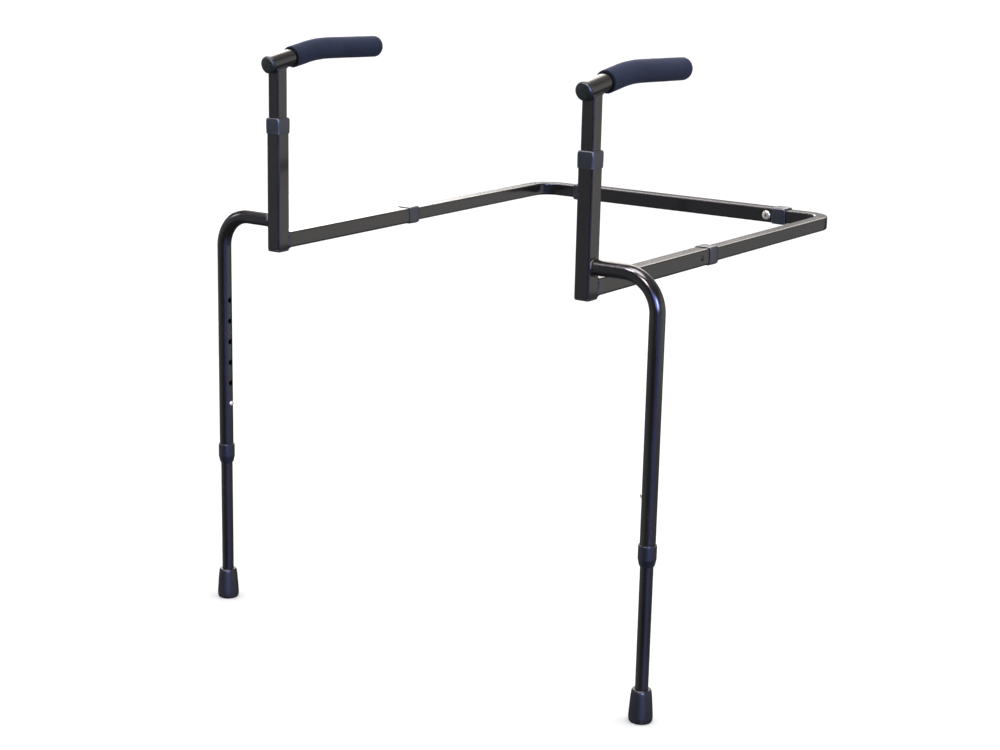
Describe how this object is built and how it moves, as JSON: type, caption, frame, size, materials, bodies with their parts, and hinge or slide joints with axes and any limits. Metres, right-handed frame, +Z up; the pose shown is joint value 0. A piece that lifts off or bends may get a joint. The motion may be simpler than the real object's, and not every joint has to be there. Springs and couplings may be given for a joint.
{
  "type": "toilet safety frame",
  "caption": "Toilet support frame, open at the front: foam-grip handles on square posts, outrigger legs with rubber tips, and telescoping arms to a width-adjusting rear bar",
  "frame": {"origin": "on the floor, under the middle of the whole frame's bounding box", "axes": "+X to the frame's right seen from the front, +Y back along the arms toward the cistern, +Z up"},
  "size_m": [0.7088, 0.653, 0.7806],
  "materials": {
    "rear_sleeve": "gloss black powder coat",
    "post_outer_tube_L": "gloss black powder coat",
    "handle_post_L": "gloss black powder coat",
    "handle_tube_L": "gloss black powder coat",
    "arm_outer_tube_L": "gloss black powder coat",
    "corner_tube_L": "gloss black powder coat",
    "leg_upper_tube_L": "gloss black powder coat",
    "leg_lower_tube_L": "gloss black powder coat",
    "post_collar_L": "satin charcoal moulded plastic",
    "arm_collar_L": "satin charcoal moulded plastic",
    "rear_collar_L": "satin charcoal moulded plastic",
    "leg_collar_L": "satin charcoal moulded plastic",
    "post_bottom_plug_L": "moulded plastic plug",
    "handle_cap_L": "moulded plastic plug",
    "foam_grip_L": "fine closed-cell foam",
    "foot_tip_L": "moulded rubber",
    "post_button_L": "polished nickel plate",
    "leg_button_L": "polished nickel plate",
    "rear_screw_L": "polished nickel plate",
    "arm_button_L": "black oxide",
    "post_spring_L": "spring steel strip",
    "arm_spring_L": "spring steel strip",
    "leg_spring_L": "spring steel strip",
    "rear_nut_L": "zinc plate",
    "foot_washer_L": "zinc plate",
    "post_outer_tube_R": "gloss black powder coat",
    "handle_post_R": "gloss black powder coat",
    "handle_tube_R": "gloss black powder coat",
    "arm_outer_tube_R": "gloss black powder coat",
    "corner_tube_R": "gloss black powder coat",
    "leg_upper_tube_R": "gloss black powder coat",
    "leg_lower_tube_R": "gloss black powder coat",
    "post_collar_R": "satin charcoal moulded plastic",
    "arm_collar_R": "satin charcoal moulded plastic",
    "rear_collar_R": "satin charcoal moulded plastic",
    "leg_collar_R": "satin charcoal moulded plastic",
    "post_bottom_plug_R": "moulded plastic plug",
    "handle_cap_R": "moulded plastic plug",
    "foam_grip_R": "fine closed-cell foam",
    "foot_tip_R": "moulded rubber",
    "post_button_R": "polished nickel plate",
    "leg_button_R": "polished nickel plate",
    "rear_screw_R": "polished nickel plate",
    "arm_button_R": "black oxide",
    "post_spring_R": "spring steel strip",
    "arm_spring_R": "spring steel strip",
    "leg_spring_R": "spring steel strip",
    "rear_nut_R": "zinc plate",
    "foot_washer_R": "zinc plate"
  },
  "bodies": {
    "rear_bar": {"rear_sleeve": "rear_sleeve", "rear_collar_L": "rear_collar_L", "rear_collar_R": "rear_collar_R", "rear_nut_L": "rear_nut_L", "rear_nut_R": "rear_nut_R"},
    "rear_screw_L": {"rear_screw_L": "rear_screw_L"},
    "corner_L": {"corner_tube_L": "corner_tube_L", "arm_spring_L": "arm_spring_L"},
    "arm_button_L": {"arm_button_L": "arm_button_L"},
    "side_L": {"post_outer_tube_L": "post_outer_tube_L", "post_bottom_plug_L": "post_bottom_plug_L", "post_collar_L": "post_collar_L", "arm_outer_tube_L": "arm_outer_tube_L", "arm_collar_L": "arm_collar_L", "leg_upper_tube_L": "leg_upper_tube_L", "leg_collar_L": "leg_collar_L"},
    "handle_L": {"handle_post_L": "handle_post_L", "handle_tube_L": "handle_tube_L", "foam_grip_L": "foam_grip_L", "handle_cap_L": "handle_cap_L", "post_spring_L": "post_spring_L"},
    "post_button_L": {"post_button_L": "post_button_L"},
    "leg_L": {"leg_lower_tube_L": "leg_lower_tube_L", "foot_tip_L": "foot_tip_L", "foot_washer_L": "foot_washer_L", "leg_spring_L": "leg_spring_L"},
    "leg_button_L": {"leg_button_L": "leg_button_L"},
    "rear_screw_R": {"rear_screw_R": "rear_screw_R"},
    "corner_R": {"corner_tube_R": "corner_tube_R", "arm_spring_R": "arm_spring_R"},
    "arm_button_R": {"arm_button_R": "arm_button_R"},
    "side_R": {"post_outer_tube_R": "post_outer_tube_R", "post_bottom_plug_R": "post_bottom_plug_R", "post_collar_R": "post_collar_R", "arm_outer_tube_R": "arm_outer_tube_R", "arm_collar_R": "arm_collar_R", "leg_upper_tube_R": "leg_upper_tube_R", "leg_collar_R": "leg_collar_R"},
    "handle_R": {"handle_post_R": "handle_post_R", "handle_tube_R": "handle_tube_R", "foam_grip_R": "foam_grip_R", "handle_cap_R": "handle_cap_R", "post_spring_R": "post_spring_R"},
    "post_button_R": {"post_button_R": "post_button_R"},
    "leg_R": {"leg_lower_tube_R": "leg_lower_tube_R", "foot_tip_R": "foot_tip_R", "foot_washer_R": "foot_washer_R", "leg_spring_R": "leg_spring_R"},
    "leg_button_R": {"leg_button_R": "leg_button_R"}
  },
  "joints": [
    {"name": "rear_screw_turn_L", "type": "hinge", "parent": "rear_bar", "child": "rear_screw_L", "pos_m": [-0.15, 0.30404, 0.521], "axis": [0, -1, 0], "continuous": true},
    {"name": "width_slide_L", "type": "slide", "parent": "rear_bar", "child": "corner_L", "axis": [-1, 0, 0], "range_m": [-0.025, 0.05]},
    {"name": "arm_button_press_L", "type": "slide", "parent": "corner_L", "child": "arm_button_L", "axis": [1, 0, 0], "range_m": [0, 0.0029], "deforming": ["arm_spring_L"]},
    {"name": "arm_slide_L", "type": "slide", "parent": "corner_L", "child": "side_L", "axis": [0, -1, 0], "range_m": [0, 0.05], "deforming": ["arm_button_L"]},
    {"name": "handle_slide_L", "type": "slide", "parent": "side_L", "child": "handle_L", "axis": [0, 0, 1], "range_m": [-0.029, 0.058], "deforming": ["post_button_L"]},
    {"name": "post_button_press_L", "type": "slide", "parent": "handle_L", "child": "post_button_L", "axis": [0, -1, 0], "range_m": [0, 0.0043], "deforming": ["post_spring_L"]},
    {"name": "leg_slide_L", "type": "slide", "parent": "side_L", "child": "leg_L", "axis": [0, 0, 1], "range_m": [0, 0.145], "deforming": ["leg_button_L"]},
    {"name": "leg_button_press_L", "type": "slide", "parent": "leg_L", "child": "leg_button_L", "axis": [-1, 0, 0], "range_m": [0, 0.0045], "deforming": ["leg_spring_L"]},
    {"name": "rear_screw_turn_R", "type": "hinge", "parent": "rear_bar", "child": "rear_screw_R", "pos_m": [0.15, 0.30404, 0.521], "axis": [0, -1, 0], "continuous": true},
    {"name": "width_slide_R", "type": "slide", "parent": "rear_bar", "child": "corner_R", "axis": [1, 0, 0], "range_m": [-0.025, 0.05]},
    {"name": "arm_button_press_R", "type": "slide", "parent": "corner_R", "child": "arm_button_R", "axis": [-1, 0, 0], "range_m": [0, 0.0029], "deforming": ["arm_spring_R"]},
    {"name": "arm_slide_R", "type": "slide", "parent": "corner_R", "child": "side_R", "axis": [0, -1, 0], "range_m": [0, 0.05], "deforming": ["arm_button_R"]},
    {"name": "handle_slide_R", "type": "slide", "parent": "side_R", "child": "handle_R", "axis": [0, 0, 1], "range_m": [-0.029, 0.058], "deforming": ["post_button_R"]},
    {"name": "post_button_press_R", "type": "slide", "parent": "handle_R", "child": "post_button_R", "axis": [0, -1, 0], "range_m": [0, 0.0043], "deforming": ["post_spring_R"]},
    {"name": "leg_slide_R", "type": "slide", "parent": "side_R", "child": "leg_R", "axis": [0, 0, 1], "range_m": [0, 0.145], "deforming": ["leg_button_R"]},
    {"name": "leg_button_press_R", "type": "slide", "parent": "leg_R", "child": "leg_button_R", "axis": [1, 0, 0], "range_m": [0, 0.0045], "deforming": ["leg_spring_R"]}
  ]
}
